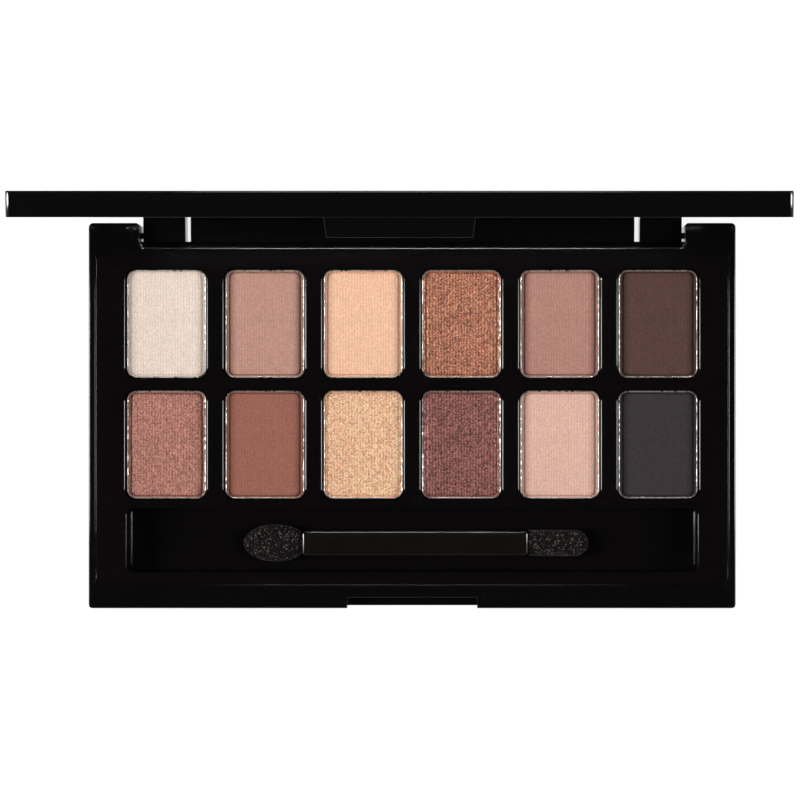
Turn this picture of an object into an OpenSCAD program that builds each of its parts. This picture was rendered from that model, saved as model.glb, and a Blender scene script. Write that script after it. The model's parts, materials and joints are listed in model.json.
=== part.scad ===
// Eyeshadow palette: a slim hinged compact with pressed-powder pans and a double-ended applicator.
// Origin at the centre of the underside. +X is to the right, +Y towards the hinge, +Z up.
// The lid and its parts are drawn closed, and lid_pose() turns them open about the hinge axis.

/* [Case] */
// Width of the case
case_w = 125; // [105:1:150]
// Depth of the case, from the latch edge to the hinge edge
case_d = 74.5; // [62:0.5:90]
// Height of the base, from the table to the top of its rim
base_h = 8.2; // [6.8:0.1:12]
// Thickness of the base's side walls
case_wall = 1.3; // [1:0.1:2]
// Thickness of the base's floor
floor_t = 1.2; // [0.9:0.1:1.4]
// Depth of the base's solid front rim, which holds the latch notch
front_rim = 4.6; // [4:0.1:6]
// Wall left between the hinge notch and the deck
hinge_wall = 1.3; // [1:0.1:2]
// Plan radius of the case's corners
corner_r = 0.8; // [0.4:0.1:1.2]
// Chamfer along the case's outer edges
edge_c = 0.2; // [0.1:0.05:0.5]
// How far the lid was opened from closed, in degrees
lid_open = 84.5; // [0:0.5:105]

/* [Deck and wells] */
// Number of pans in a row
columns = 6; // [2:1:8]
// Number of rows of pans
rows = 2; // [1:1:2]
// Clearance between the deck tray and the base
deck_gap = 0.1; // [0.05:0.01:0.2]
// How far the deck lies below the base's rim
deck_drop = 0.25; // [0.1:0.05:0.5]
// Thickness of the deck and of its skirt
deck_t = 1; // [0.8:0.1:1.4]
// Thickness of the cups under the wells
cup_t = 0.7; // [0.5:0.05:0.75]
// Deck left of the first well and right of the last
side_border = 5.7; // [3:0.05:8]
// Deck between the rear wells and the deck's rear edge
rear_border = 2.85; // [1.5:0.05:4]
// Deck between the trough and the deck's front edge
front_border = 2.3; // [1.5:0.1:4]
// Web between wells in a row
web_x = 3.24; // [1.6:0.01:4]
// Web between the two rows
web_y = 2.1; // [1.5:0.1:4]

/* [Pans] */
// Clearance around a pan in its well
pan_gap = 0.2; // [0.1:0.05:0.5]
// Height of a pan
pan_h = 2.6; // [2:0.1:3.2]
// Sheet thickness of a pan
pan_wall = 0.3; // [0.2:0.05:0.4]
// Plan radius of a pan's corners
pan_r = 1.8; // [1:0.1:3]
// How far a pan's rim lies below the deck
pan_drop = 0.9; // [0.5:0.1:1.2]
// Powder shoulder: how far its border lies below the pan's rim
shoulder_drop = 0.25; // [0.1:0.05:0.5]
// Width of that border around the raised middle
shoulder_w = 0.45; // [0.3:0.05:1]
// How far the raised middle stands above the pan's rim
powder_rise = 0.1; // [0:0.05:0.4]
// Diameter of the adhesive disc under each pan
glue_d = 12; // [6:0.5:13]
// Thickness of the adhesive disc
glue_t = 0.15; // [0.1:0.05:0.3]

/* [Applicator and trough] */
// Width of the trough, front to back
trough_d = 12.5; // [9:0.1:16]
// Deck between the trough's ends and the deck's ends
trough_border = 6; // [3:0.1:9]
// Web between the front wells and the trough
trough_web = 1.55; // [1.3:0.05:4]
// Thickness of the trough's walls and floor
tub_t = 0.9; // [0.6:0.05:1]
// Plan radius of the trough's corners
trough_r = 1.2; // [0.6:0.1:3]
// Length of the applicator's handle
handle_l = 44; // [30:1:48]
// Width of the handle
handle_w = 4.9; // [4:0.1:6]
// Thickness of the handle
handle_t = 3.6; // [2.8:0.1:3.8]
// Chamfer along the handle's long edges
handle_c = 0.35; // [0.2:0.05:0.5]
// Plan radius of the handle's corners
handle_r = 0.7; // [0.5:0.1:1.5]
// Length of the oval sponge tip
oval_l = 11.6; // [9:0.1:14]
// Length of the whole oval that the tip is cut from at its blunt end
oval_full_l = 12.8; // [10:0.1:16]
// Width of the oval sponge tip
oval_w = 7.4; // [5:0.1:8.5]
// Length of the narrow sponge tip
narrow_l = 11.8; // [9:0.1:14]
// Width of the narrow sponge tip
narrow_w = 5.2; // [4:0.1:6.5]
// Thickness of both sponge tips
sponge_t = 3; // [2.2:0.1:3.2]
// Diameter of the stems that the sponges are glued on
stem_d = 1.6; // [1:0.1:2]
// How far a stem reaches into its sponge
stem_l = 6; // [4:0.5:7]
// Where the handle's middle lies along X
applicator_x = 0.5; // [-10:0.5:10]
// How far the applicator lies in front of the trough's centreline
applicator_y = 0.8; // [0:0.1:1.2]

/* [Hinge] */
// Width of each hinge block at the base's rear corners
block_w = 9.75; // [8:0.05:12]
// Distance of the hinge axis from the case's rear face
hinge_inset = 2.25; // [2.1:0.05:2.6]
// Distance of the hinge axis below the base's rim
hinge_drop = 3.7; // [3.2:0.1:4]
// Diameter of the hinge pins
pin_d = 1.2; // [1:0.1:1.5]
// Radial clearance of a pin in its bore
pin_clear = 0.05; // [0.02:0.01:0.1]
// How far a pin reaches into its block
pin_hold = 0.8; // [0.6:0.1:1.2]
// Gap between the lid's tongue and a hinge block
tongue_gap = 0.4; // [0.4:0.05:0.8]
// Material of the tongue in front of the hinge axis
tongue_front = 0.95; // [0.9:0.05:1.2]
// Material of the tongue below the hinge axis
tongue_below = 1.2; // [1:0.05:1.3]
// Radius of the tongue's lower rear edge
tongue_r = 0.9; // [0.6:0.05:1]
// Clearance around the turning tongue
swing_gap = 0.17; // [0.1:0.01:0.3]
// Distance of the flex slots from the tongue's ends
arm_w = 8.2; // [6:0.1:12]
// Width of the flex slots
slot_w = 1; // [0.7:0.1:2]
// How far the notch is open right through, from the rear face
notch_through = 3.1; // [2.6:0.1:3.4]
// Plan radius of the notch's front corners
notch_r = 1; // [0.5:0.1:2]

/* [Lid] */
// Height of the lid
lid_h = 4.2; // [3.6:0.1:6]
// Thickness of the lid's top
lid_t = 1.3; // [1:0.1:1.6]
// Thickness of the lid's rim
lid_wall = 1.5; // [1.2:0.1:2]
// Gap between the closed lid and the base's rim
parting = 0.15; // [0.1:0.01:0.3]
// Lid frame left and right of the window
window_side = 6; // [4:0.5:12]
// Lid frame between the window and the front edge
window_front = 6; // [4:0.5:12]
// Lid frame between the window and the rear edge
window_rear = 8; // [6:0.5:14]
// Plan radius of the window's corners
window_r = 2; // [1:0.1:5]
// Width of the pane's flange behind the frame
flange_w = 1.4; // [1:0.1:2]
// Thickness of the flange
flange_t = 0.8; // [0.5:0.1:1]
// Clearance between the pane and the edge of the window
pane_gap = 0.05; // [0.02:0.01:0.1]

/* [Latch] */
// Width of the latch tab on the lid's front edge
tab_w = 24.1; // [16:0.1:36]
// Thickness of the latch tab
tab_t = 1.4; // [1.2:0.1:1.8]
// How far the tab hangs below the lid
tab_drop = 3.2; // [2.4:0.1:3.8]
// How far each side of the tab is drafted
tab_draft = 0.4; // [0:0.1:1]
// How far the tab and the finger notch are set back from the front face
tab_setback = 0.25; // [0.2:0.05:0.8]
// Gap between the tab and the base around it
tab_gap = 0.5; // [0.4:0.05:0.8]
// Radius of the snap beads
bead_r = 0.25; // [0.15:0.05:0.3]
// Height of the snap bead above the tab's lower edge
bead_h = 0.75; // [0.5:0.05:1]
// How far a snap bead ends short of the tab's sides
bead_inset = 1; // [0.6:0.1:3]

/* [Label] */
// Width of the blank label on the underside
label_w = 60; // [30:1:80]
// Depth of the label, front to back
label_d = 26; // [16:1:40]
// Distance of the label from the deck pocket's rear wall
label_border = 1; // [0:0.5:4]
// Thickness of the label
label_t = 0.1; // [0.05:0.01:0.12]

/* [Hidden] */
$fn = 48;
cut = 1; // overshoot of every cutting shape
label_recess = 0.15;
snap_l = 10; // length of a deck snap bead
snap_r = 0.3;
snap_clear = 0.05;
handle_rest = 0.05; // gap under the applicator's handle
press_gap = 0.02; // gap between the pressed powder and the pan's wall
sponge_fn = 28; // sides of the sponges' round sections

rear = case_d / 2;
front = -case_d / 2;

// Heights
deck_top = base_h - deck_drop;
pan_top = deck_top - pan_drop;
pan_z = pan_top - pan_h;
well_z = pan_z - glue_t;
trough_z = floor_t + tub_t;
lid_z = base_h + parting;

// Hinge
hinge_y = rear - hinge_inset;
hinge_z = base_h - hinge_drop;
tongue_swing = tongue_r
    + norm([hinge_inset - tongue_r, tongue_below - tongue_r]);
notch_w = case_w - 2 * block_w;
notch_d = hinge_inset + tongue_swing + swing_gap;
tongue_w = notch_w - 2 * tongue_gap;
tongue_t = hinge_inset + tongue_front;

// Deck pocket
pocket_w = case_w - 2 * case_wall;
pocket_rear = rear - notch_d - hinge_wall;
pocket_front = front + front_rim;
deck_w = pocket_w - 2 * deck_gap;
deck_d = pocket_rear - pocket_front - 2 * deck_gap;
deck_y = (pocket_rear + pocket_front) / 2;
pocket_r = corner_r;
snap_x = pocket_w / 3; // the outer snaps' distance from the middle

// Wells share what the borders, webs and trough leave of the pocket
well_w = (pocket_w - 2 * side_border - (columns - 1) * web_x) / columns;
well_d = (pocket_rear - pocket_front - rear_border - front_border - trough_d - trough_web
    - (rows - 1) * web_y) / rows;
pan_w = well_w - 2 * pan_gap;
pan_d = well_d - 2 * pan_gap;
trough_w = pocket_w - 2 * trough_border;
trough_y = pocket_front + front_border + trough_d / 2;

// Latch
tab_y = front + tab_setback;
latch_d = tab_setback + tab_t + tab_gap;
latch_w = tab_w + 2 * tab_gap;
latch_z = lid_z - tab_drop - tab_gap;
bead_z = lid_z - tab_drop + bead_h;
bead_l = tab_w - 2 * bead_inset;

// Label, well clear of the origin on the flat underside
label_y = pocket_rear - label_border - label_d / 2;

// Window
window_w = case_w - 2 * window_side;
window_d = case_d - window_front - window_rear;
window_y = (window_front - window_rear) / 2;

// Pressed colours, row by row from the hinge side, left to right
shades = [
    "#e8d6c8", "#bd8f82", "#f1c1a1", "#a66e57", "#b28478", "#5a413c",
    "#aa7568", "#996456", "#e1b38f", "#81544e", "#ddb2a1", "#3c3638"
];
pan_count = rows * columns;
function two_digits(i) = str(i < 10 ? "0" : "", i);
function pan_name(i) = str("pan_", two_digits(i));
function powder_name(i) = str("powder_", two_digits(i));
function well_x(i) = ((i - 1) % columns - (columns - 1) / 2) * (well_w + web_x);
function well_y(i) = pocket_rear - rear_border - well_d / 2
    - floor((i - 1) / columns) * (well_d + web_y);

// A rectangle centred on the origin with round corners
module rounded_rect(w, d, r) {
    square([w - 2 * r, d], center = true);
    square([w, d - 2 * r], center = true);
    for (x = [-1, 1], y = [-1, 1])
        translate([x * (w / 2 - r), y * (d / 2 - r)]) circle(r);
}

// A slab on that rectangle, from z = 0 up
module rounded_slab(w, d, h, r) {
    linear_extrude(h) rounded_rect(w, d, r);
}

// Cutter for the four upper edges of a w by d block whose top is at z = 0
module edge_cutter(w, d, c) {
    s = c * sqrt(2);
    for (x = [-1, 1])
        translate([x * w / 2, 0, 0]) rotate([0, 45, 0]) cube([s, d + cut, s], center = true);
    for (y = [-1, 1])
        translate([0, y * d / 2, 0]) rotate([45, 0, 0]) cube([w + cut, s, s], center = true);
}

// A rod along X, centred on the origin
module rod(l, r) {
    rotate([0, 90, 0]) cylinder(r = r, h = l, center = true);
}

// Children repeated left and right
module both_sides() {
    for (s = [0, 1]) mirror([s, 0, 0]) children();
}

// The wells of every pan, as children placed at their centres
module at_wells() {
    for (i = [1:pan_count]) translate([well_x(i), well_y(i), 0]) children();
}

// Places of the deck's snaps along both long edges
module at_snaps() {
    for (x = [-1, 0, 1], y = [pocket_front, pocket_rear])
        translate([x * snap_x, y, (floor_t + deck_top) / 2]) children();
}

// Plan of the base, with the hinge notch between its two blocks
module base_plan() {
    difference() {
        rounded_rect(case_w, case_d, corner_r);
        translate([0, rear - notch_d / 2 + cut])
            rounded_rect(notch_w, notch_d + 2 * cut, notch_r);
        both_sides() translate([notch_w / 2 + corner_r, rear - corner_r]) difference() {
            translate([-corner_r - cut, 0]) square([corner_r + cut, corner_r + cut]);
            circle(corner_r);
        }
    }
}

// The ledge at the foot of the hinge notch, in front of the open part
module notch_ledge() {
    difference() {
        translate([-notch_w / 2 - cut, rear - notch_d - hinge_wall / 2, 0])
            cube([notch_w + 2 * cut, notch_d - notch_through + hinge_wall / 2, floor_t]);
        translate([0, hinge_y, hinge_z]) rod(case_w, tongue_swing + swing_gap);
    }
}

// Cutter that rounds the blocks' upper rear edge about the hinge axis, clear of the turning lid
module block_rounding() {
    translate([0, hinge_y, hinge_z]) difference() {
        translate([-case_w / 2 - cut, 0, 0])
            cube([case_w + 2 * cut, hinge_inset + cut, hinge_drop + cut]);
        rod(case_w + 4 * cut, hinge_drop);
    }
}

// Cutter for the latch notch and the shallow finger relief below it
module latch_notch() {
    translate([-latch_w / 2, front - cut, latch_z]) cube([latch_w, latch_d + cut, base_h]);
    translate([-latch_w / 2, front - cut, -cut])
        cube([latch_w, tab_setback + cut, base_h + 2 * cut]);
}

module base_shell() {
    color("#141313") difference() {
        union() {
            difference() {
                union() {
                    linear_extrude(base_h) base_plan();
                    notch_ledge();
                }
                translate([0, 0, base_h]) edge_cutter(case_w, case_d, edge_c);
                mirror([0, 0, 1]) edge_cutter(case_w, case_d, edge_c);
                translate([0, deck_y, floor_t])
                    rounded_slab(pocket_w, pocket_rear - pocket_front, base_h, pocket_r);
            }
            at_snaps() rod(snap_l, snap_r);
        }
        block_rounding();
        latch_notch();
        translate([0, front + latch_d, bead_z]) rod(bead_l + 2 * tab_gap, bead_r);
        translate([0, hinge_y, hinge_z])
            rod(notch_w + 2 * (pin_hold + swing_gap), pin_d / 2 + pin_clear);
        translate([0, label_y, -cut])
            rounded_slab(label_w + 2 * label_recess, label_d + 2 * label_recess,
                cut + label_recess, corner_r);
    }
}

// Outside of one well's cup
module well_cup() {
    translate([0, 0, well_z - cup_t])
        rounded_slab(well_w + 2 * cup_t, well_d + 2 * cup_t, deck_top - well_z, pan_r + pan_gap);
}

module deck_tray() {
    color("#161414") difference() {
        union() {
            translate([0, deck_y, deck_top - deck_t])
                rounded_slab(deck_w, deck_d, deck_t, pocket_r);
            translate([0, deck_y, floor_t]) difference() {
                rounded_slab(deck_w, deck_d, deck_top - floor_t, pocket_r);
                translate([0, 0, -cut]) rounded_slab(deck_w - 2 * deck_t, deck_d - 2 * deck_t,
                    deck_top + cut, pocket_r);
            }
            at_wells() well_cup();
            translate([0, trough_y, floor_t]) rounded_slab(trough_w + 2 * tub_t,
                trough_d + 2 * tub_t, deck_top - floor_t, trough_r + tub_t);
        }
        at_wells() translate([0, 0, well_z])
            rounded_slab(well_w, well_d, base_h, pan_r + pan_gap);
        translate([0, trough_y, trough_z]) rounded_slab(trough_w, trough_d, base_h, trough_r);
        at_snaps() rod(snap_l + 2 * snap_clear, snap_r + snap_clear);
    }
}

module pan(i) {
    color("#b9b4ae") translate([well_x(i), well_y(i), pan_z]) difference() {
        rounded_slab(pan_w, pan_d, pan_h, pan_r);
        translate([0, 0, pan_wall]) rounded_slab(pan_w - 2 * pan_wall, pan_d - 2 * pan_wall,
            pan_h, pan_r - pan_wall);
    }
}

module powder(i) {
    shoulder_h = pan_h - pan_wall - shoulder_drop;
    side = 2 * (pan_wall + press_gap);
    color(shades[(i - 1) % len(shades)]) translate([well_x(i), well_y(i), pan_z + pan_wall]) {
        rounded_slab(pan_w - side, pan_d - side, shoulder_h, pan_r - pan_wall);
        rounded_slab(pan_w - side - 2 * shoulder_w, pan_d - side - 2 * shoulder_w,
            shoulder_h + shoulder_drop + powder_rise, pan_r - pan_wall - shoulder_w);
    }
}

module pan_adhesive() {
    color("#d9d3c4") at_wells() translate([0, 0, well_z]) cylinder(d = glue_d, h = glue_t);
}

module bottom_label() {
    color("#e9e7e2") translate([0, label_y, label_recess - label_t])
        rounded_slab(label_w, label_d, label_t, corner_r);
}

// Turns what is drawn closed open about the hinge axis
module lid_pose() {
    translate([0, hinge_y, hinge_z]) rotate([-lid_open, 0, 0])
        translate([0, -hinge_y, -hinge_z]) children();
}

// Section of the tongue in front of and below the hinge axis, as (y, z) from the axis
module tongue_section() {
    top = lid_z - hinge_z + lid_wall;
    translate([-tongue_front, 0]) square([tongue_t, top]);
    translate([-tongue_front, -tongue_below]) square([tongue_t - tongue_r, top]);
    translate([hinge_inset - tongue_r, tongue_r - tongue_below]) circle(tongue_r);
}

module tongue() {
    translate([-tongue_w / 2, hinge_y, hinge_z])
        rotate([90, 0, 90]) linear_extrude(tongue_w) tongue_section();
    translate([0, hinge_y, hinge_z]) rod(notch_w + 2 * pin_hold, pin_d / 2);
}

// One of the two slots that let the arms with the pins flex inwards into the base
module flex_slot() {
    slot_top = lid_z + parting;
    translate([tongue_w / 2 - arm_w - slot_w / 2, 0, 0]) {
        translate([-slot_w / 2, rear - tongue_t - cut, hinge_z - tongue_below - cut])
            cube([slot_w, tongue_t + 2 * cut, slot_top - hinge_z + tongue_below + cut]);
        translate([0, rear + cut, slot_top]) rotate([90, 0, 0])
            cylinder(d = slot_w, h = tongue_t + 2 * cut);
    }
}

module latch_tab() {
    translate([0, tab_y + tab_t, lid_z]) rotate([90, 0, 0]) linear_extrude(tab_t)
        polygon([
            [-tab_w / 2, lid_wall], [tab_w / 2, lid_wall],
            [tab_w / 2, 0], [tab_w / 2 - tab_draft, -tab_drop],
            [-tab_w / 2 + tab_draft, -tab_drop], [-tab_w / 2, 0]
        ]);
    translate([0, tab_y + tab_t, bead_z]) rod(bead_l, bead_r);
}

module lid_frame() {
    inner_d = case_d - lid_wall - tongue_t;
    inner_y = (lid_wall - tongue_t) / 2;
    color("#141313") lid_pose() difference() {
        union() {
            difference() {
                translate([0, 0, lid_z]) rounded_slab(case_w, case_d, lid_h, corner_r);
                translate([0, 0, lid_z + lid_h]) edge_cutter(case_w, case_d, edge_c);
                translate([0, inner_y, lid_z - cut]) rounded_slab(case_w - 2 * lid_wall, inner_d,
                    lid_h - lid_t + cut, corner_r);
                translate([0, window_y, lid_z])
                    rounded_slab(window_w, window_d, lid_h + cut, window_r);
            }
            tongue();
            latch_tab();
        }
        both_sides() flex_slot();
    }
}

// A stepped pane: its middle fills the window, and its flange is welded behind the frame
module lid_window() {
    flange_z = lid_z + lid_h - lid_t - flange_t;
    color([0.75, 0.8, 0.82, 0.3]) lid_pose() translate([0, window_y, flange_z]) difference() {
        union() {
            rounded_slab(window_w + 2 * flange_w, window_d + 2 * flange_w, flange_t,
                window_r + flange_w);
            rounded_slab(window_w - 2 * pane_gap, window_d - 2 * pane_gap,
                flange_t + lid_t - pane_gap, window_r - pane_gap);
        }
        translate([0, 0, -cut]) rounded_slab(window_w - 2 * flange_w, window_d - 2 * flange_w,
            cut + flange_t, window_r);
    }
}

// Children drawn about the handle's middle, placed in the trough
module applicator_pose() {
    translate([applicator_x, trough_y - applicator_y, trough_z + handle_rest + handle_t / 2])
        children();
}

module applicator_handle() {
    color("#1b1918") applicator_pose() {
        difference() {
            translate([0, 0, -handle_t / 2]) rounded_slab(handle_l, handle_w, handle_t, handle_r);
            translate([0, 0, handle_t / 2]) edge_cutter(handle_l, handle_w, handle_c);
            translate([0, 0, -handle_t / 2]) edge_cutter(handle_l, handle_w, handle_c);
        }
        rod(handle_l + 2 * stem_l, stem_d / 2);
    }
}

// Cutter for the hole in a sponge that its stem is glued into, from x = 0
module stem_hole() {
    translate([stem_l / 2, 0, 0]) rod(stem_l + 2 * handle_rest, stem_d / 2);
}

// Oval tip: a flattened egg whose blunt end meets the handle at x = 0
module sponge_oval() {
    egg_l = max(oval_full_l, oval_l);
    color("#26211f") applicator_pose() translate([-handle_l / 2, 0, 0]) mirror([1, 0, 0])
        difference() {
            intersection() {
                translate([oval_l - egg_l / 2, 0, 0]) hull()
                    scale([egg_l / oval_w, 1, sponge_t / oval_w])
                        rotate([0, 90, 0]) sphere(d = oval_w, $fn = sponge_fn);
                translate([0, -oval_w, -oval_w]) cube(2 * oval_w);
            }
            stem_hole();
        }
}

// Narrow tip: a flattened rod with a round end
module sponge_narrow() {
    color("#26211f") applicator_pose() translate([handle_l / 2, 0, 0]) difference() {
        hull() scale([1, 1, sponge_t / narrow_w]) rotate([0, 90, 0]) {
            cylinder(d = narrow_w, h = cut, $fn = sponge_fn);
            translate([0, 0, narrow_l - narrow_w / 2]) sphere(d = narrow_w, $fn = sponge_fn);
        }
        stem_hole();
    }
}

base_shell();
deck_tray();
for (i = [1:pan_count]) {
    pan(i);
    powder(i);
}
pan_adhesive();
bottom_label();
lid_frame();
lid_window();
applicator_handle();
sponge_oval();
sponge_narrow();
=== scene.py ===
"""Looks of a slim eyeshadow palette: a gloss black styrene case with a hinged lid, twelve pressed
powders in tinplate pans, and a double-ended sponge applicator lying in its trough.

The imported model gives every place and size. Mouldings are finished copies of its nodes with their
edges rounded, and the pans, powders and applicator are modelled afresh where those nodes lie.
"""

import json
import logging
import math
from collections.abc import Callable, Iterator
from contextlib import contextmanager
from dataclasses import dataclass
from enum import Enum

import bmesh
import bpy
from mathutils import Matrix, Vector

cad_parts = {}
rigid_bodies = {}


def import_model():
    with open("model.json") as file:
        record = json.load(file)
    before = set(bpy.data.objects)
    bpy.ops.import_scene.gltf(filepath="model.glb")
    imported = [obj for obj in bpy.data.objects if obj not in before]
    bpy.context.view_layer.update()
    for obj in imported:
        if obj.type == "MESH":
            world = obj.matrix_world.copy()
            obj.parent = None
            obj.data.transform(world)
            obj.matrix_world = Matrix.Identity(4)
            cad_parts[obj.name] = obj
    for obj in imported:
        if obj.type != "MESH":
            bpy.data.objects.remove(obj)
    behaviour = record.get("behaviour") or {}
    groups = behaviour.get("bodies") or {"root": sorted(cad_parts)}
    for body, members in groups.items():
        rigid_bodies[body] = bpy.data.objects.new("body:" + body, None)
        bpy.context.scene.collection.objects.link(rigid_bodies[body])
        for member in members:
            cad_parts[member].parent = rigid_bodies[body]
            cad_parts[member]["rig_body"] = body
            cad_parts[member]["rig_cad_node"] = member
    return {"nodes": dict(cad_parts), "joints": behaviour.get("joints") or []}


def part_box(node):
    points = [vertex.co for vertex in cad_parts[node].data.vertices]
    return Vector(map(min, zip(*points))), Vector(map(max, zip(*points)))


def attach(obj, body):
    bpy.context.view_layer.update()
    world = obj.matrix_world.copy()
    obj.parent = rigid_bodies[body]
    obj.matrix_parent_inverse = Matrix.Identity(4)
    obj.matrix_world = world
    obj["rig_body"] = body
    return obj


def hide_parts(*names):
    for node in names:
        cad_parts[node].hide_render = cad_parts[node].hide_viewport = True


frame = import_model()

log = logging.getLogger("palette")

MM = 0.001
# Bands in a metre that a wave texture of scale 1 draws
WAVE_BANDS = 3.18
SNAP_PITCH = 40.8 * MM
# Where the trough's short sides begin and end between its round corners
TROUGH_ENDS = (-29.1 * MM, -19.1 * MM)
WELL_CORNER = 1.9 * MM
DECK_CORNER = 1.0 * MM
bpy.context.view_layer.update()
HINGE = Vector(next(joint["pos_m"] for joint in frame["joints"] if joint["name"] == "lid_hinge"))
Colour = tuple[float, float, float, float]


# ---------------------------------------------------------------- colour and node helpers


def linear(code: str) -> Colour:
    """Turns an sRGB hex code into a linear colour.

    Args:
        code: The colour as "#rrggbb".

    Returns:
        Linear red, green and blue, with an alpha of 1.
    """
    channels = [int(code[i:i + 2], 16) / 255 for i in (1, 3, 5)]
    curve = [c / 12.92 if c <= 0.04045 else ((c + 0.055) / 1.055) ** 2.4 for c in channels]
    return curve[0], curve[1], curve[2], 1.0


def shaded(code: str, gain: float) -> Colour:
    """Makes a linear colour lighter or darker.

    Args:
        code: The colour as "#rrggbb".
        gain: What its linear channels are multiplied by.

    Returns:
        The linear colour, each channel at most 1.
    """
    red, green, blue, _ = linear(code)
    return min(red * gain, 1.0), min(green * gain, 1.0), min(blue * gain, 1.0), 1.0


def add(tree: bpy.types.NodeTree, kind: str, inputs: dict[str | int, object] | None = None,
        stops: tuple[tuple[float, Colour], ...] = (), **settings: object) -> bpy.types.Node:
    """Adds a shader node with its settings, values and links.

    Args:
        tree: The node tree it goes in.
        kind: The node's type name.
        inputs: For each input, a socket to link from or a value to set.
        stops: For a colour ramp, each stop's place from 0 to 1 and its linear colour.
        **settings: Attributes of the node itself.

    Returns:
        The new node.
    """
    made = tree.nodes.new(kind)
    for name, value in settings.items():
        setattr(made, name, value)
    for key, value in (inputs or {}).items():
        if isinstance(value, bpy.types.NodeSocket):
            tree.links.new(value, made.inputs[key])
        else:
            made.inputs[key].default_value = value
    for number, (place, colour) in enumerate(stops):
        elements = made.color_ramp.elements
        element = elements[number] if number < 2 else elements.new(place)
        element.position, element.color = place, colour
    return made


def grey(value: float) -> Colour:
    """A neutral linear colour of that value."""
    return value, value, value, 1.0


@dataclass(frozen=True)
class Finish:
    """What every finish shares: a material with a Principled surface."""

    name: str

    def start(self, **sockets: object) -> tuple[bpy.types.Material, bpy.types.NodeTree,
                                                bpy.types.Node]:
        """Makes the material and sets the values that are the same all over it.

        Args:
            **sockets: Principled inputs by name, with underscores for spaces.

        Returns:
            The material, its node tree and its Principled node.
        """
        material = bpy.data.materials.new(self.name)
        material.use_nodes = True
        tree = material.node_tree
        surface = tree.nodes["Principled BSDF"]
        for name, value in sockets.items():
            surface.inputs[name.replace("_", " ")].default_value = value
        return material, tree, surface


@dataclass(frozen=True)
class GlossStyrene(Finish):
    """Injection-moulded black polystyrene from a polished tool.

    The polish gives mirror-sharp reflections, the sink of a cooling wall bends them slightly, and
    handling leaves a faint unevenness in the gloss.
    """

    tint: str = "#090808"
    roughness: float = 0.07
    sink_mm: float = 14.0
    smudge_mm: float = 9.0

    def build(self) -> bpy.types.Material:
        """Makes the material."""
        material, tree, surface = self.start(Base_Color=linear(self.tint), IOR=1.59)
        place = add(tree, "ShaderNodeTexCoord").outputs["Object"]
        smudge = add(tree, "ShaderNodeTexNoise", {
            "Vector": place, "Scale": 1 / (self.smudge_mm * MM), "Detail": 4.0,
            "Roughness": 0.6}).outputs["Fac"]
        rough = add(tree, "ShaderNodeMapRange", {
            "Value": smudge, "From Min": 0.35, "From Max": 0.75,
            "To Min": self.roughness, "To Max": self.roughness * 1.9}).outputs["Result"]
        tree.links.new(rough, surface.inputs["Roughness"])
        sink = add(tree, "ShaderNodeTexNoise", {
            "Vector": place, "Scale": 1 / (self.sink_mm * MM), "Detail": 1.0}).outputs["Fac"]
        bump = add(tree, "ShaderNodeBump", {
            "Height": sink, "Strength": 0.12, "Distance": 0.2 * MM}).outputs["Normal"]
        tree.links.new(bump, surface.inputs["Normal"])
        return material


@dataclass(frozen=True)
class ClearStyrene(Finish):
    """Clear styrene-acrylonitrile sheet, moulded and polished, which is almost as clear as glass."""

    def build(self) -> bpy.types.Material:
        """Makes the material."""
        material, tree, surface = self.start(
            Base_Color=linear("#f4f7f7"), IOR=1.57, Transmission_Weight=1.0, Alpha=1.0)
        place = add(tree, "ShaderNodeTexCoord").outputs["Object"]
        haze = add(tree, "ShaderNodeTexNoise", {
            "Vector": place, "Scale": 1 / (12 * MM), "Detail": 3.0}).outputs["Fac"]
        rough = add(tree, "ShaderNodeMapRange", {
            "Value": haze, "To Min": 0.01, "To Max": 0.05}).outputs["Result"]
        tree.links.new(rough, surface.inputs["Roughness"])
        return material


class Press(Enum):
    """How much mica a powder holds, from none to mostly mica."""

    MATTE = "matte"
    SATIN = "satin"
    SHIMMER = "shimmer"
    METALLIC = "metallic"


@dataclass(frozen=True)
class MicaLoad:
    """What a powder's mica does to its surface."""

    contrast: float
    metallic: float
    roughness: float
    flake_tilt: float
    flake_mm: float
    rib_share: float
    # Half the span of tones between the darkest and the brightest flake
    reach: float


MICA = {
    Press.MATTE: MicaLoad(0.20, 0.0, 0.92, 0.08, 0.20, 0.26, 0.35),
    Press.SATIN: MicaLoad(0.18, 0.08, 0.75, 0.12, 0.20, 0.26, 0.35),
    Press.SHIMMER: MicaLoad(0.95, 0.25, 0.50, 0.40, 0.18, 0.16, 0.42),
    Press.METALLIC: MicaLoad(1.50, 0.40, 0.42, 0.60, 0.21, 0.20, 0.33),
}


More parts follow.
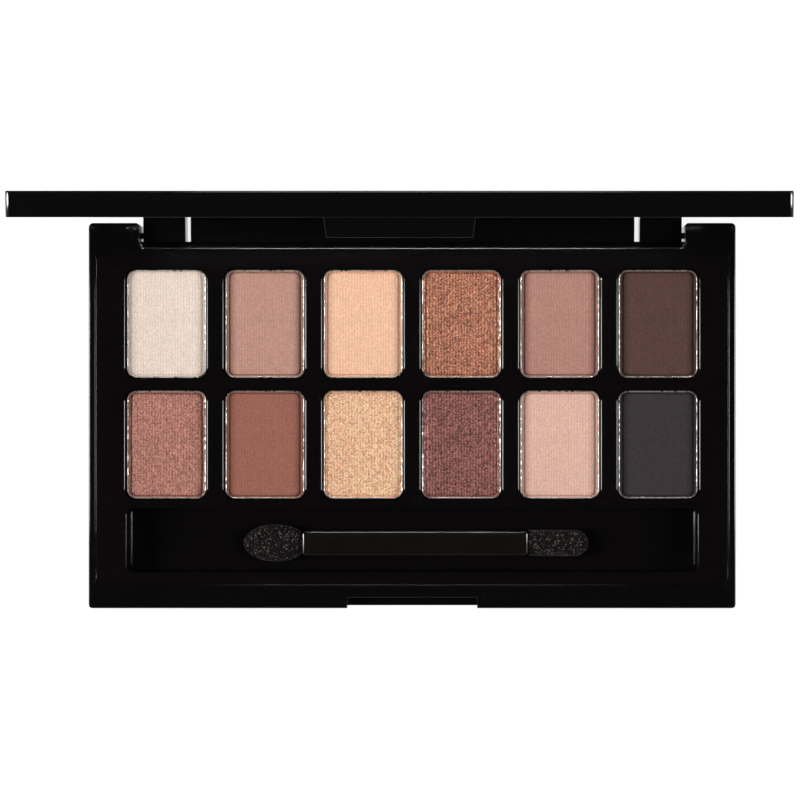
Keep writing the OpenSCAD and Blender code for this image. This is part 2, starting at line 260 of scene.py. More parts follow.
@dataclass(frozen=True)
class PressedPowder(Finish):
    """Talc and pigment pressed through a ribbon, with more or less mica in it.

    The ribbon leaves fine ribs from front to back, the talc scatters light evenly, and each flake
    of mica glints by itself. The flakes are drawn coarser than real ones so that they show. The
    left and right sides carry painted shade, darkest at the groove inside the ring and fading
    towards the middle.
    """

    colour: str = "#bd8f82"
    press: Press = Press.MATTE
    rib_mm: float = 0.56
    grain_mm: float = 0.24
    patch_mm: float = 5.0
    centre: tuple[float, float, float] = (0.0, 0.0, 0.0)
    half_width: float = 7.4 * MM
    groove_inset: float = 0.5 * MM
    # How far in from the left and right edges the painted side shade reaches
    side_shade_width: float = 2.0 * MM
    # Brightness of the painted shade at the groove, where the middle is 1
    side: float = 1.0

    def build(self) -> bpy.types.Material:
        """Makes the material."""
        mica = MICA[self.press]
        material, tree, surface = self.start(IOR=1.5, Specular_IOR_Level=0.2)
        place = add(tree, "ShaderNodeTexCoord").outputs["Object"]
        local = add(tree, "ShaderNodeMapping", {
            "Vector": place, "Location": tuple(-c for c in self.centre)}).outputs["Vector"]
        flakes = add(tree, "ShaderNodeTexVoronoi", {
            "Vector": local, "Scale": 1 / (mica.flake_mm * MM), "Randomness": 1.0})
        flake_value = add(tree, "ShaderNodeSeparateColor", {
            "Color": flakes.outputs["Color"]}).outputs["Red"]
        grain = add(tree, "ShaderNodeTexNoise", {
            "Vector": local, "Scale": 1 / (self.grain_mm * MM), "Detail": 2.0,
            "Roughness": 0.65}).outputs["Fac"]
        patches = add(tree, "ShaderNodeTexNoise", {
            "Vector": local, "Scale": 1 / (self.patch_mm * MM), "Detail": 2.0}).outputs["Fac"]
        ribs = add(tree, "ShaderNodeTexWave", {
            "Vector": local, "Scale": 1 / (self.rib_mm * MM) / WAVE_BANDS, "Distortion": 0.8,
            "Detail": 2.0, "Detail Scale": 0.6}, bands_direction="X").outputs["Fac"]
        # Flakes set the speckle, and ribs, grain and patches ride on it
        tone = flake_value
        for other, share in ((grain, 0.16), (ribs, mica.rib_share), (patches, 0.14)):
            tone = add(tree, "ShaderNodeMix", {
                0: share, 2: tone, 3: other}, data_type="FLOAT").outputs[0]
        spread = mica.contrast
        colour = add(tree, "ShaderNodeValToRGB", {0: tone}, stops=(
            (0.5 - mica.reach, shaded(self.colour, max(1 - 0.80 * spread, 0.15))),
            (0.5 + mica.reach, shaded(self.colour, 1 + 1.30 * spread)),
            (0.50, linear(self.colour)))).outputs["Color"]
        # Painted shade: the base colour darkens towards the left and right sides, most at the groove
        # inside the ring and a little less over the ring itself
        across = add(tree, "ShaderNodeMath", {
            0: add(tree, "ShaderNodeSeparateXYZ", {"Vector": local}).outputs["X"]},
            operation="ABSOLUTE").outputs["Value"]
        to_side = add(tree, "ShaderNodeMapRange", {
            "Value": across, "From Min": self.half_width - self.side_shade_width,
            "From Max": self.half_width}).outputs["Result"]
        groove = 1 - self.groove_inset / self.side_shade_width
        # Painted shade as a factor on the colour: 1 in the middle, darkest at the groove
        packed = add(tree, "ShaderNodeValToRGB", {0: to_side}, stops=(
            (0.0, grey(1.0)), (1.0, grey(0.92)), (groove, grey(self.side)),
            (groove + 0.08, grey(0.9)))).outputs["Color"]
        tree.links.new(add(tree, "ShaderNodeMix", {
            0: 1.0, 6: colour, 7: packed}, data_type="RGBA", blend_type="MULTIPLY").outputs[2],
            surface.inputs["Base Color"])
        tree.links.new(add(tree, "ShaderNodeMapRange", {
            "Value": flake_value, "From Min": 0.45, "From Max": 0.9,
            "To Min": 0.25 * mica.metallic, "To Max": mica.metallic * 1.3}).outputs["Result"],
            surface.inputs["Metallic"])
        tree.links.new(add(tree, "ShaderNodeMapRange", {
            "Value": flake_value, "To Min": min(mica.roughness + 0.12, 1.0),
            "To Max": mica.roughness - 0.06}).outputs["Result"], surface.inputs["Roughness"])
        ribbed = add(tree, "ShaderNodeBump", {
            "Height": ribs, "Strength": 0.25, "Distance": 0.03 * MM}).outputs["Normal"]
        grained = add(tree, "ShaderNodeBump", {
            "Height": grain, "Strength": 0.4, "Distance": 0.04 * MM,
            "Normal": ribbed}).outputs["Normal"]
        glinting = add(tree, "ShaderNodeBump", {
            "Height": flake_value, "Strength": mica.flake_tilt, "Distance": 0.05 * MM,
            "Normal": grained}).outputs["Normal"]
        tree.links.new(glinting, surface.inputs["Normal"])
        return material


@dataclass(frozen=True)
class DustedTinplate(Finish):
    """Tin-plated steel sheet, deep drawn, with a bloom of powder pressed over its rim."""

    dust: str = "#bd8f82"
    rim_z: float = 0.0

    def build(self) -> bpy.types.Material:
        """Makes the material."""
        material, tree, surface = self.start()
        place = add(tree, "ShaderNodeTexCoord").outputs["Object"]
        height = add(tree, "ShaderNodeSeparateXYZ", {"Vector": place}).outputs["Z"]
        near_rim = add(tree, "ShaderNodeMapRange", {
            "Value": height, "From Min": self.rim_z - 0.35 * MM,
            "From Max": self.rim_z - 0.05 * MM}).outputs["Result"]
        speckle = add(tree, "ShaderNodeTexNoise", {
            "Vector": place, "Scale": 1 / (0.8 * MM), "Detail": 5.0,
            "Roughness": 0.7}).outputs["Fac"]
        cover = add(tree, "ShaderNodeMapRange", {
            "Value": speckle, "From Min": 0.44, "From Max": 0.62}).outputs["Result"]
        dusted = add(tree, "ShaderNodeMath", {0: near_rim, 1: cover},
                     operation="MULTIPLY").outputs["Value"]
        colour = add(tree, "ShaderNodeMix", {
            0: dusted, 6: linear("#cfcac2"), 7: shaded(self.dust, 0.9)},
            data_type="RGBA").outputs[2]
        tree.links.new(colour, surface.inputs["Base Color"])
        tree.links.new(add(tree, "ShaderNodeMapRange", {
            "Value": dusted, "To Min": 1.0, "To Max": 0.0}).outputs["Result"],
            surface.inputs["Metallic"])
        tree.links.new(add(tree, "ShaderNodeMapRange", {
            "Value": dusted, "To Min": 0.24, "To Max": 0.85}).outputs["Result"],
            surface.inputs["Roughness"])
        return material


@dataclass(frozen=True)
class SpongeFoam(Finish):
    """Black open-cell polyurethane foam, ground to shape.

    Its cut cells trap light, and their lips catch it as pale specks.
    """

    cell_mm: float = 0.20

    def build(self) -> bpy.types.Material:
        """Makes the material."""
        material, tree, surface = self.start(
            Roughness=0.95, Sheen_Weight=0.05, IOR=1.45, Specular_IOR_Level=0.2)
        place = add(tree, "ShaderNodeTexCoord").outputs["Object"]
        cells = add(tree, "ShaderNodeTexVoronoi", {
            "Vector": place, "Scale": 1 / (self.cell_mm * MM)})
        lip = add(tree, "ShaderNodeSeparateColor", {
            "Color": cells.outputs["Color"]}).outputs["Red"]
        colour = add(tree, "ShaderNodeValToRGB", {0: lip}, stops=(
            (0.0, linear("#010101")), (1.0, linear("#665a56")),
            (0.62, linear("#040303")), (0.84, linear("#15100f")))).outputs["Color"]
        tree.links.new(colour, surface.inputs["Base Color"])
        pores = add(tree, "ShaderNodeBump", {
            "Height": cells.outputs["Distance"], "Strength": 0.6,
            "Distance": 0.08 * MM}).outputs["Normal"]
        tree.links.new(pores, surface.inputs["Normal"])
        return material


@dataclass(frozen=True)
class CoatedPaper(Finish):
    """Clay-coated white label paper, calendered: an even sheen over a faint fibre mottle."""

    def build(self) -> bpy.types.Material:
        """Makes the material."""
        material, tree, surface = self.start(Roughness=0.55, IOR=1.5)
        place = add(tree, "ShaderNodeTexCoord").outputs["Object"]
        fibre = add(tree, "ShaderNodeTexNoise", {
            "Vector": place, "Scale": 1 / (0.6 * MM), "Detail": 6.0}).outputs["Fac"]
        colour = add(tree, "ShaderNodeValToRGB", {0: fibre}, stops=(
            (0.3, linear("#dedbd4")), (0.7, linear("#efede8")))).outputs["Color"]
        tree.links.new(colour, surface.inputs["Base Color"])
        return material


@dataclass(frozen=True)
class AdhesiveGum(Finish):
    """Hot-melt gum pressed flat: cream, slightly translucent and soft to the light."""

    def build(self) -> bpy.types.Material:
        """Makes the material."""
        material, tree, surface = self.start(
            Roughness=0.5, IOR=1.48, Subsurface_Weight=0.2, Subsurface_Scale=0.5 * MM)
        place = add(tree, "ShaderNodeTexCoord").outputs["Object"]
        flow = add(tree, "ShaderNodeTexNoise", {
            "Vector": place, "Scale": 1 / (2 * MM), "Detail": 2.0}).outputs["Fac"]
        colour = add(tree, "ShaderNodeValToRGB", {0: flow}, stops=(
            (0.3, linear("#cfc8b6")), (0.7, linear("#e2dccb")))).outputs["Color"]
        tree.links.new(colour, surface.inputs["Base Color"])
        return material


# ---------------------------------------------------------------- modelling helpers


def deselect() -> None:
    """Deselects every object, among them the loaded nodes."""
    for item in bpy.context.view_layer.objects:
        item.select_set(False)


def activate(piece: bpy.types.Object) -> bpy.types.Object:
    """Selects one object alone and makes it active."""
    deselect()
    piece.select_set(True)
    bpy.context.view_layer.objects.active = piece
    return piece


@contextmanager
def editing(piece: bpy.types.Object, mode: str = "FACE") -> Iterator[None]:
    """Opens a piece in edit mode with nothing selected, and closes it again.

    Args:
        piece: The object to shape.
        mode: What is selected: VERT, EDGE or FACE.
    """
    activate(piece)
    bpy.ops.object.mode_set(mode="EDIT")
    bpy.ops.mesh.select_mode(type=mode)
    bpy.ops.mesh.select_all(action="DESELECT")
    yield
    bpy.ops.object.mode_set(mode="OBJECT")


def choose_faces(piece: bpy.types.Object, wanted: Callable[[bmesh.types.BMFace], bool]) -> int:
    """Selects exactly the faces that a test picks, in edit mode.

    Args:
        piece: The object in edit mode.
        wanted: The test, by a face's place or normal.

    Returns:
        How many faces were selected.
    """
    shape = bmesh.from_edit_mesh(piece.data)
    for face in shape.faces:
        face.select_set(False)
    found = [face for face in shape.faces if wanted(face)]
    for face in found:
        face.select_set(True)
    bmesh.update_edit_mesh(piece.data)
    return len(found)


def choose_edges(piece: bpy.types.Object, wanted: Callable[[bmesh.types.BMEdge], bool]) -> int:
    """Selects exactly the edges that a test picks, in edit mode.

    Args:
        piece: The object in edit mode.
        wanted: The test, by an edge's place or direction.

    Returns:
        How many edges were selected.
    """
    shape = bmesh.from_edit_mesh(piece.data)
    for face in shape.faces:
        face.select_set(False)
    for edge in shape.edges:
        edge.select_set(False)
    found = [edge for edge in shape.edges if wanted(edge)]
    for edge in found:
        edge.select_set(True)
    bmesh.update_edit_mesh(piece.data)
    return len(found)


def upright(edge: bmesh.types.BMEdge) -> bool:
    """Whether an edge runs along Z."""
    run = edge.verts[0].co - edge.verts[1].co
    return abs(run.z) > 0.99 * run.length


def lengthwise(edge: bmesh.types.BMEdge) -> bool:
    """Whether an edge runs from front to back."""
    run = edge.verts[0].co - edge.verts[1].co
    return abs(run.y) > 0.999 * run.length


def at_height(item: bmesh.types.BMEdge, height: float, margin: float = 0.001 * MM) -> bool:
    """Whether both ends of an edge lie at that height."""
    return all(abs(vertex.co.z - height) < margin for vertex in item.verts)


def modify(piece: bpy.types.Object, kind: str, **settings: object) -> None:
    """Adds a modifier and applies it.

    Args:
        piece: The object to change.
        kind: The modifier's type name.
        **settings: The modifier's own settings.
    """
    activate(piece)
    modifier = piece.modifiers.new(kind.title(), kind)
    for name, value in settings.items():
        setattr(modifier, name, value)
    bpy.ops.object.modifier_apply(modifier=modifier.name)


def block(name: str, low: Vector, high: Vector) -> bpy.types.Object:
    """Adds a cube that fills a box, with its place in its mesh.

    Args:
        name: The piece's name.
        low: The box's lowest corner.
        high: The box's highest corner.

    Returns:
        The new piece.
    """
    deselect()
    bpy.ops.mesh.primitive_cube_add(size=1, location=(low + high) / 2, scale=high - low)
    piece = bpy.context.object
    piece.name = name
    settle(piece)
    return piece


def settle(piece: bpy.types.Object) -> None:
    """Puts a piece's place, turn and scale into its mesh."""
    activate(piece)
    bpy.ops.object.transform_apply(location=True, rotation=True, scale=True)


def keep_within(piece: bpy.types.Object, low: Vector, high: Vector) -> None:
    """Moves any vertex that stands outside a box onto its side."""
    for vertex in piece.data.vertices:
        for axis in range(3):
            vertex.co[axis] = min(max(vertex.co[axis], low[axis]), high[axis])


def finish_piece(piece: bpy.types.Object, material: bpy.types.Material, body: str,
                 nodes: tuple[str, ...], sharp_degrees: float = 35.0) -> bpy.types.Object:
    """Smooths, dresses and hands over a finished piece.

    Args:
        piece: The finished object.
        material: Its one material.
        body: The body it moves with.
        nodes: The nodes it stands for.
        sharp_degrees: Edges that turn more than this stay sharp.

    Returns:
        The same piece.
    """
    activate(piece)
    bpy.ops.object.shade_smooth()
    bpy.ops.object.shade_smooth_by_angle(angle=math.radians(sharp_degrees))
    piece.data.materials.clear()
    piece.data.materials.append(material)
    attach(piece, body)
    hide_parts(*nodes)
    log.info("%s: %d faces", piece.name, len(piece.data.polygons))
    return piece


def dress_node(name: str, material: bpy.types.Material) -> None:
    """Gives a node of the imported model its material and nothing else."""
    node = frame["nodes"][name]
    node.data.materials.clear()
    node.data.materials.append(material)
    log.info("%s keeps its packed shape", name)


# ---------------------------------------------------------------- the palette's sub-assemblies


@dataclass
class Moulding:
    """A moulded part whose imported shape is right, and only lacks the radius of its edges."""

    node: str
    piece: str
    body: str
    slot: str
    fillet: float = 0.06 * MM
    steps: int = 3
    crease_degrees: float = 28.0
    sharp_degrees: float = 40.0
    # Planes that part flat faces at their openings, as (axis, place)
    partings: tuple[tuple[int, float], ...] = ((0, 0.0),)

    def copy_node(self) -> bpy.types.Object:
        """Copies the node and makes the copy's mesh whole, with no face around an opening.

        Returns:
            The copy, which rides on nothing yet.
        """
        activate(frame["nodes"][self.node])
        bpy.ops.object.duplicate()
        piece = bpy.context.object
        piece.parent = None
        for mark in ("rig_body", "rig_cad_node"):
            del piece[mark]
        piece.name = self.piece
        piece.data.name = self.piece
        bpy.ops.mesh.customdata_custom_splitnormals_clear()
        with editing(piece, "VERT"):
            bpy.ops.mesh.select_all(action="SELECT")
            bpy.ops.mesh.remove_doubles(threshold=0.004 * MM)
            bpy.ops.mesh.dissolve_degenerate(threshold=0.004 * MM)
            bpy.ops.mesh.dissolve_limited(angle_limit=math.radians(0.2))
            for axis, place in self.partings:
                bpy.ops.mesh.select_all(action="SELECT")
                across = [float(axis == number) for number in range(3)]
                bpy.ops.mesh.bisect(plane_co=[place * share for share in across],
                                    plane_no=across)
        return piece

    def shape(self, piece: bpy.types.Object) -> None:
        """Makes any larger radius that this moulding has. Most have none."""

    def build(self, material: bpy.types.Material) -> bpy.types.Object:
        """Copies the node and rounds its edges.

        Args:
            material: The moulding's material.

        Returns:
            The finished piece.
        """
        piece = self.copy_node()
        self.shape(piece)
        if self.fillet:
            modify(piece, "BEVEL", width=self.fillet, segments=self.steps, limit_method="ANGLE",
                   angle_limit=math.radians(self.crease_degrees), use_clamp_overlap=False,
                   miter_outer="MITER_ARC")
        keep_within(piece, *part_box(self.node))
        finish_piece(piece, material, self.body, (self.node,), self.sharp_degrees)
        modify(piece, "WEIGHTED_NORMAL", keep_sharp=True, weight=80)
        return piece


@dataclass
class BaseMoulding(Moulding):
    """The base, with the soft edge that the hinge notch has along its front."""

    notch_round: float = 0.45 * MM

    def shape(self, piece: bpy.types.Object) -> None:
        """Rounds the upper front edge of the hinge notch."""
        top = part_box(self.node)[1].z
        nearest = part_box("deck_tray")[1].y + 0.5 * MM
        farthest = HINGE.y - 0.9 * MM
        with editing(piece, "EDGE"):
            choose_edges(piece, lambda edge: at_height(edge, top)
                         and all(nearest < vertex.co.y < farthest for vertex in edge.verts)
                         and edge.calc_face_angle(0) > 0.5)
            bpy.ops.mesh.bevel(offset=self.notch_round, segments=4, affect="EDGES")


@dataclass
class DeckMoulding(Moulding):
    """The deck tray. Its edges from front to back are radiused, and those across are crisp."""

    fillet: float = 0.0
    sharp_degrees: float = 24.0
    well_round: float = 0.18 * MM
    seam_round: float = 0.12 * MM
    floor_round: float = 0.16 * MM
    shortest: float = 1.0 * MM

    def shape(self, piece: bpy.types.Object) -> None:
        """Rounds the straight sides of the wells and the trough, of the deck, and of the floor."""
        low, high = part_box(self.node)
        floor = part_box("applicator_handle")[0].z - 0.05 * MM
        skin = 0.05 * MM

        def at_rim(edge: bmesh.types.BMEdge) -> bool:
            """Whether an edge is the deck's own outer rim."""
            return all(min(vertex.co.x - low.x, high.x - vertex.co.x) < 1.0 * MM
                       for vertex in edge.verts)

        for height, wanted, radius in (
                (high.z, lambda edge: not at_rim(edge), self.well_round),
                (high.z, at_rim, self.seam_round),
                (floor, lambda edge: True, self.floor_round)):
            with editing(piece, "EDGE"):
                chosen = choose_edges(
                    piece, lambda edge: at_height(edge, height, skin) and lengthwise(edge)
                    and edge.calc_length() > self.shortest
                    and edge.calc_face_angle(0) > 0.5 and wanted(edge))
                bpy.ops.mesh.bevel(offset=radius, segments=4, affect="EDGES")
            log.info("deck: %d edges rounded to %.2f mm", chosen, radius / MM)


@dataclass(frozen=True)
class Shade:
    """One powder of the palette."""

    label: str
    colour: str
    press: Press
    # Width of the pressed ring inside the rim, and depth of the groove inside that
    ring: float
    groove: float
    # How bright the painted shade on the left and right sides is at the groove, where the middle is
    # 1
    side: float


SHADES = (
    Shade("ivory", "#decbbe", Press.SATIN, 0.30 * MM, 0.08 * MM, 0.80),
    Shade("mauve", "#b28779", Press.MATTE, 0.36 * MM, 0.46 * MM, 0.48),
    Shade("peach", "#e5b698", Press.MATTE, 0.28 * MM, 0.30 * MM, 0.75),
    Shade("bronze", "#a76c56", Press.METALLIC, 0.32 * MM, 0.30 * MM, 0.70),
    Shade("rose_taupe", "#a97c70", Press.MATTE, 0.36 * MM, 0.42 * MM, 0.50),
    Shade("espresso", "#533b35", Press.MATTE, 0.42 * MM, 0.36 * MM, 0.50),
    Shade("rosewood", "#a47064", Press.SHIMMER, 0.34 * MM, 0.42 * MM, 0.66),
    Shade("brick", "#915e50", Press.MATTE, 0.40 * MM, 0.32 * MM, 0.62),
    Shade("gold", "#eeaf8c", Press.SHIMMER, 0.28 * MM, 0.12 * MM, 0.95),
    Shade("plum", "#80534e", Press.METALLIC, 0.36 * MM, 0.18 * MM, 0.88),
    Shade("blush", "#d7ad9d", Press.SATIN, 0.36 * MM, 0.34 * MM, 0.66),
    Shade("charcoal", "#363032", Press.MATTE, 0.40 * MM, 0.32 * MM, 0.50),
)


@dataclass
class FilledPan:
    """A drawn tinplate pan and the powder pressed into it."""

    number: int
    shade: Shade
    corner: float = 1.8 * MM
    sheet: float = 0.3 * MM
    rim_round: float = 0.14 * MM
    foot_round: float = 0.45 * MM
    ring_drop: float = 0.06 * MM
    ring_rear: float = 0.12 * MM
    corner_steps: int = 8
    edge_cuts: int = 40
    groove_slope: float = 0.10 * MM
    # Steps of the crown from the groove inwards: each one's width and its share of the rise
    crown: tuple[tuple[float, float], ...] = (
        (0.10 * MM, 0.44), (0.15 * MM, 0.24), (0.25 * MM, 0.16), (0.40 * MM, 0.10),
        (0.50 * MM, 0.06))
    # The crown is rolled from side to side, so it is this much narrower at the front and rear
    crown_rear: float = 0.3
    crumb_size: float = 0.9 * MM
    crumb_depth: float = 0.16 * MM

    @property
    def pan_node(self) -> str:
        """The pan's node."""
        return f"pan_{self.number:02d}"

    @property
    def powder_node(self) -> str:
        """The powder's node."""
        return f"powder_{self.number:02d}"

    def build_pan(self) -> bpy.types.Object:
        """Draws the pan from a block: round corners, a hollow, and a rolled rim and foot.

        Returns:
            The finished pan.
        """
        low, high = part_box(self.pan_node)
        pan = block(f"tin_pan_{self.number:02d}", low, high)
        with editing(pan, "EDGE"):
            choose_edges(pan, upright)
            bpy.ops.mesh.bevel(offset=self.corner, segments=self.corner_steps, affect="EDGES")
        with editing(pan):
            choose_faces(pan, lambda face: face.normal.z > 0.9)
            bpy.ops.mesh.inset(thickness=self.sheet, depth=0)
            bpy.ops.mesh.extrude_region_move(
                TRANSFORM_OT_translate={"value": (0, 0, low.z + self.sheet - high.z)})
        with editing(pan, "EDGE"):
            choose_edges(pan, lambda edge: at_height(edge, high.z) and edge.is_manifold
                         and edge.calc_face_angle(0) > 0.5)
            bpy.ops.mesh.bevel(offset=self.rim_round, segments=3, affect="EDGES")
        with editing(pan, "EDGE"):
            choose_edges(pan, lambda edge: at_height(edge, low.z)
                         and edge.calc_face_angle(0) > 0.5)
            bpy.ops.mesh.bevel(offset=self.foot_round, segments=3, affect="EDGES")
        material = DustedTinplate(
            f"tinplate_dusted_{self.shade.label}", self.shade.colour, high.z).build()
        return finish_piece(pan, material, "base", (self.pan_node,))

    def build_powder(self) -> bpy.types.Object:
        """Presses the powder from a block: a ring, a groove and a plateau with a worn edge.

        Returns:
            The finished powder.
        """
        low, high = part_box(self.powder_node)
        ring_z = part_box(self.pan_node)[1].z - self.ring_drop
        middle = (low + high) / 2
        powder = block(f"powder_{self.shade.label}", low, Vector((high.x, high.y, ring_z)))
        with editing(powder, "EDGE"):
            choose_edges(powder, upright)
            bpy.ops.mesh.bevel(offset=self.corner - self.sheet, segments=self.corner_steps,
                               affect="EDGES")
        with editing(powder, "EDGE"):
            choose_edges(powder, lambda edge: at_height(edge, ring_z)
                         and edge.calc_length() > 2 * self.corner)
            bpy.ops.mesh.subdivide(number_cuts=self.edge_cuts)
        ring, slope = self.shade.ring, self.groove_slope
        half = (high - low) / 2 - Vector((ring, self.ring_rear, 0))
        rise = high.z - ring_z + self.shade.groove
        with editing(powder):
            choose_faces(powder, lambda face: face.normal.z > 0.9)
            bpy.ops.mesh.inset(thickness=ring, depth=0)
            bpy.ops.transform.resize(value=(1, half.y / (half.y + self.ring_rear - ring), 1),
                                     center_override=middle)
            bpy.ops.mesh.inset(thickness=slope, depth=-self.shade.groove)
            half -= Vector((slope, slope, 0))
            for width, share in self.crown:
                inner = half - Vector((width, width * self.crown_rear, 0))
                bpy.ops.mesh.extrude_region_move(
                    TRANSFORM_OT_translate={"value": (0, 0, share * rise)})
                bpy.ops.transform.resize(value=(inner.x / half.x, inner.y / half.y, 1),
                                         center_override=middle)
                half = inner
        self.wear(powder, low, high)
        # The material paints shade on the powder's left and right sides, darkest at the groove
        material = PressedPowder(
            f"powder_{self.shade.press.value}_{self.shade.label}", self.shade.colour,
            self.shade.press, centre=tuple(middle), half_width=(high.x - low.x) / 2,
            groove_inset=ring + slope, side=self.shade.side).build()
        return finish_piece(powder, material, "base",
                            (self.powder_node,), 75.0)

    def wear(self, powder: bpy.types.Object, low: Vector, high: Vector) -> None:
        """Crumbles the powder's upper edges a little, each powder in its own way.

        Args:
            powder: The pressed block.
            low: The lowest corner it may fill.
            high: The highest corner it may fill.
        """
        crumble = bpy.data.textures.new(f"crumble_{self.number:02d}", "CLOUDS")
        crumble.noise_scale = self.crumb_size
        crumble.noise_depth = 3
        modify(powder, "DISPLACE", texture=crumble, texture_coords="LOCAL",
               strength=self.crumb_depth, mid_level=0.5)
        keep_within(powder, low, high)

    def build(self) -> None:
        """Builds the pan and its powder."""
        self.build_pan()
        self.build_powder()


@dataclass
class Applicator:
    """A flat styrene bar with a foam tip glued on the stem at each end."""

    corner: float = 0.7 * MM
    edge_round: float = 0.45 * MM
    stem_radius: float = 0.8 * MM
    foam_voxel: float = 0.16 * MM
    pore_size: float = 0.28 * MM
    pore_depth: float = 0.09 * MM
    # Length of the oval tip's ball before its blunt end is cut off, as a share of the tip's
    ball_share: float = 1.1

    def build_handle(self) -> bpy.types.Object:
        """Shapes the bar from a block, with round corners and long edges, and adds its stems.

        Returns:
            The finished handle.
        """
        low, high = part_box("applicator_handle")
        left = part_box("sponge_oval")[1].x
        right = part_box("sponge_narrow")[0].x
        bar_low = Vector((left, low.y, low.z))
        bar_high = Vector((right, high.y, high.z))
        bar = block("applicator_bar", bar_low, bar_high)
        with editing(bar, "EDGE"):
            choose_edges(bar, upright)
            bpy.ops.mesh.bevel(offset=self.corner, segments=6, affect="EDGES")
        with editing(bar, "EDGE"):
            choose_edges(bar, lambda edge: at_height(edge, bar_high.z)
                         or at_height(edge, bar_low.z))
            bpy.ops.mesh.bevel(offset=self.edge_round, segments=4, affect="EDGES")
        middle = (bar_low + bar_high) / 2
        deselect()
        bpy.ops.mesh.primitive_cylinder_add(
            vertices=32, radius=self.stem_radius, depth=high.x - low.x, location=middle,
            rotation=(0, math.pi / 2, 0))
        stems = bpy.context.object
        settle(stems)
        modify(bar, "BOOLEAN", operation="UNION", object=stems, solver="EXACT")
        bpy.data.objects.remove(stems)
        material = GlossStyrene("styrene_black_handle", tint="#110f0d", roughness=0.1).build()
        return finish_piece(bar, material, "applicator",
                            ("applicator_handle",))

    def build_sponge(self, node: str, name: str, blunt_x: float,
                     material: bpy.types.Material) -> bpy.types.Object:
        """Grinds one foam tip from a ball, or a ball and a rod, and opens its cells.

        Args:
            node: The node it stands for.
            name: The piece's name.
            blunt_x: Where its blunt end meets the handle.
            material: The foam.

        Returns:
            The finished tip.
        """
        low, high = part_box(node)
        size, middle = high - low, (low + high) / 2
        outward = 1 if low.x + high.x > 2 * blunt_x else -1
        deselect()
        if node == "sponge_oval":
            length = size.x * self.ball_share
            centre_x = blunt_x + outward * (size.x - length / 2)
            bpy.ops.mesh.primitive_uv_sphere_add(
                segments=64, ring_count=48, radius=0.5,
                location=(centre_x, middle.y, middle.z),
                scale=(length, size.y, size.z))
            tip = bpy.context.object
            settle(tip)
            with editing(tip):
                bpy.ops.mesh.select_all(action="SELECT")
                bpy.ops.mesh.bisect(plane_co=(blunt_x, 0, 0), plane_no=(-outward, 0, 0),
                                    clear_outer=True, use_fill=True)
        else:
            # A ball and a rod of the same width, which the remeshing makes one
            nose_x = blunt_x + outward * (size.x - size.y / 2)
            bpy.ops.mesh.primitive_uv_sphere_add(
                segments=64, ring_count=48, radius=size.y / 2,
                location=(nose_x, middle.y, middle.z))
            nose = bpy.context.object
            settle(nose)
            deselect()
            bpy.ops.mesh.primitive_cylinder_add(
                vertices=64, radius=size.y / 2, depth=abs(nose_x - blunt_x),
                location=((nose_x + blunt_x) / 2, middle.y, middle.z),
                rotation=(0, math.pi / 2, 0))
            tip = bpy.context.object
            settle(tip)
            nose.select_set(True)
            bpy.ops.object.join()
            with editing(tip):
                bpy.ops.mesh.select_all(action="SELECT")
                bpy.ops.transform.resize(value=(1, 1, size.z / size.y), center_override=middle)
        tip.name = name
        modify(tip, "REMESH", mode="VOXEL", voxel_size=self.foam_voxel)
        cells = bpy.data.textures.new(name + "_cells", "VORONOI")
        cells.noise_scale = self.pore_size
        modify(tip, "DISPLACE", texture=cells, texture_coords="LOCAL",
               strength=self.pore_depth, mid_level=1.0)
        keep_within(tip, low, high)
        finish_piece(tip, material, "applicator", (node,), 80.0)
        return tip

    def build(self) -> None:
        """Builds the bar and both tips."""
        self.build_handle()
        foam = SpongeFoam("polyurethane_foam_black").build()
        self.build_sponge("sponge_oval", "foam_tip_oval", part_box("sponge_oval")[1].x, foam)
        self.build_sponge("sponge_narrow", "foam_tip_narrow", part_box("sponge_narrow")[0].x, foam)


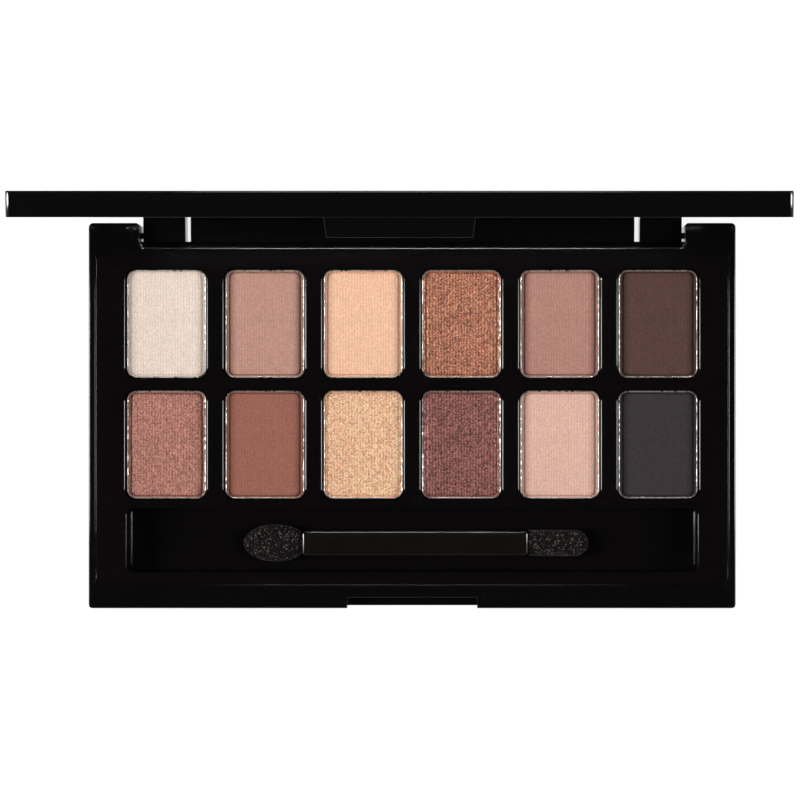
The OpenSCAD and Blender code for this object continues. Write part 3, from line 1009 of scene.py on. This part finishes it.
@dataclass
class Studio:
    """A light table, two narrow softboxes at the sides, a wider one behind, and the camera."""

    floor_size: float = 6.0
    floor_glow: float = 0.85
    # Each softbox has its place, its width and height, and its power in watts
    side_place: tuple[float, float, float] = (0.9, 0.0, 0.7)
    side_size: tuple[float, float] = (0.18, 0.6)
    left_power: float = 11.3
    right_power: float = 7.5
    back_place: tuple[float, float, float] = (-0.035, 0.9, 0.85)
    back_size: tuple[float, float] = (0.33, 0.45)
    back_power: float = 5.6
    sky: float = 0.3
    camera_x: float = 0.0111
    camera_y: float = 0.003
    camera_above_deck: float = 0.380
    lens: float = 88.5
    shift: float = -0.087

    def build_floor(self) -> None:
        """Lays the pale floor."""
        deselect()
        bpy.ops.mesh.primitive_plane_add(size=self.floor_size, location=(0, 0, 0))
        floor = bpy.context.object
        floor.name = "studio_floor"
        material = bpy.data.materials.new("acrylic_light_table")
        material.use_nodes = True
        surface = material.node_tree.nodes["Principled BSDF"]
        surface.inputs["Base Color"].default_value = grey(0.25)
        surface.inputs["Roughness"].default_value = 0.9
        surface.inputs["Emission Color"].default_value = grey(1.0)
        surface.inputs["Emission Strength"].default_value = self.floor_glow
        floor.data.materials.append(material)

    def add_softbox(self, name: str, place: tuple[float, float, float],
                    size: tuple[float, float], power: float) -> None:
        """Hangs one rectangular softbox that points at the palette.

        Args:
            name: The light's name.
            place: Where it hangs, in metres.
            size: Its width and height.
            power: Its power in watts.
        """
        lamp = bpy.data.lights.new(name, "AREA")
        lamp.shape = "RECTANGLE"
        lamp.size, lamp.size_y = size
        lamp.energy = power
        holder = bpy.data.objects.new(name, lamp)
        holder.location = place
        holder.rotation_euler = (-Vector(place)).to_track_quat("-Z", "Y").to_euler()
        bpy.context.scene.collection.objects.link(holder)

    def build_lights(self) -> None:
        """Hangs the softboxes and sets a sky that is bright low down and dark overhead."""
        across, along, up = self.side_place
        for side, name, power in ((-1, "softbox_left", self.left_power),
                                  (1, "softbox_right", self.right_power)):
            self.add_softbox(name, (side * across, along, up), self.side_size, power)
        self.add_softbox("softbox_back", self.back_place, self.back_size, self.back_power)
        world = bpy.data.worlds.new("studio")
        bpy.context.scene.world = world
        world.use_nodes = True
        tree = world.node_tree
        direction = add(tree, "ShaderNodeTexCoord").outputs["Generated"]
        height = add(tree, "ShaderNodeSeparateXYZ", {"Vector": direction}).outputs["Z"]
        glow = add(tree, "ShaderNodeValToRGB", {0: height}, stops=(
            (0.0, grey(0.35)), (1.0, grey(0.02)), (0.2, grey(0.8)),
            (0.62, grey(0.9)), (0.9, grey(0.02)))).outputs["Color"]
        background = tree.nodes["Background"]
        tree.links.new(glow, background.inputs["Color"])
        background.inputs["Strength"].default_value = self.sky

    def build_camera(self) -> None:
        """Hangs the camera straight above, a little right of the middle."""
        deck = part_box("deck_tray")[1].z
        data = bpy.data.cameras.new("overhead_camera")
        data.lens = self.lens
        data.shift_x = self.shift
        data.clip_start, data.clip_end = 0.01, 20.0
        camera = bpy.data.objects.new("overhead_camera", data)
        camera.location = (self.camera_x, self.camera_y, deck + self.camera_above_deck)
        camera.rotation_euler = (0, 0, 0)
        bpy.context.scene.collection.objects.link(camera)
        bpy.context.scene.camera = camera

    def build(self) -> None:
        """Builds the floor, the lights and the camera."""
        self.build_floor()
        self.build_lights()
        self.build_camera()
        bpy.context.scene.view_settings.view_transform = "Standard"


def straight_ends() -> list[float]:
    """Finds where the straight sides of the wells, of the trough and of the deck end.

    Returns:
        Places along Y, each just inside the round corners of an opening.
    """
    ends = list(TROUGH_ENDS)
    for node, corner in (("pan_01", WELL_CORNER), (f"pan_{len(SHADES):02d}", WELL_CORNER),
                         ("deck_tray", DECK_CORNER)):
        low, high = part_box(node)
        ends += [low.y + corner, high.y - corner]
    return ends


def main() -> None:
    """Builds the studio and every sub-assembly."""
    logging.basicConfig(level=logging.INFO, format="%(name)s %(message)s")
    Studio().build()
    case_black = GlossStyrene("styrene_black_case").build()
    deck_black = GlossStyrene("styrene_black_deck", tint="#0a0808", roughness=0.08).build()
    clear = ClearStyrene("styrene_clear_window").build()
    columns = sorted({round(sum(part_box(f"pan_{number:02d}")[side].x for side in (0, 1)) / 2, 6)
                      for number in range(1, len(SHADES) + 1)})
    snaps = [(0, side * SNAP_PITCH) for side in (-1, 0, 1)]
    BaseMoulding("base_shell", "base_moulding", "base", "case_black",
                 partings=(*snaps, (2, HINGE.z))).build(case_black)
    DeckMoulding("deck_tray", "deck_moulding", "base", "deck_black",
                 partings=tuple((0, place) for place in columns)
                 + tuple((1, place) for place in straight_ends())).build(deck_black)
    Moulding("lid_frame", "lid_moulding", "lid", "case_black",
             partings=((0, 0.0), (2, HINGE.z))).build(case_black)
    Moulding("lid_window", "window_pane", "lid", "window_clear",
             fillet=0.12 * MM).build(clear)
    for number, shade in enumerate(SHADES, start=1):
        FilledPan(number, shade).build()
    Applicator().build()
    dress_node("pan_adhesive", AdhesiveGum("gum_cream").build())
    dress_node("bottom_label", CoatedPaper("paper_coated_blank").build())


if __name__ == "__main__":
    main()
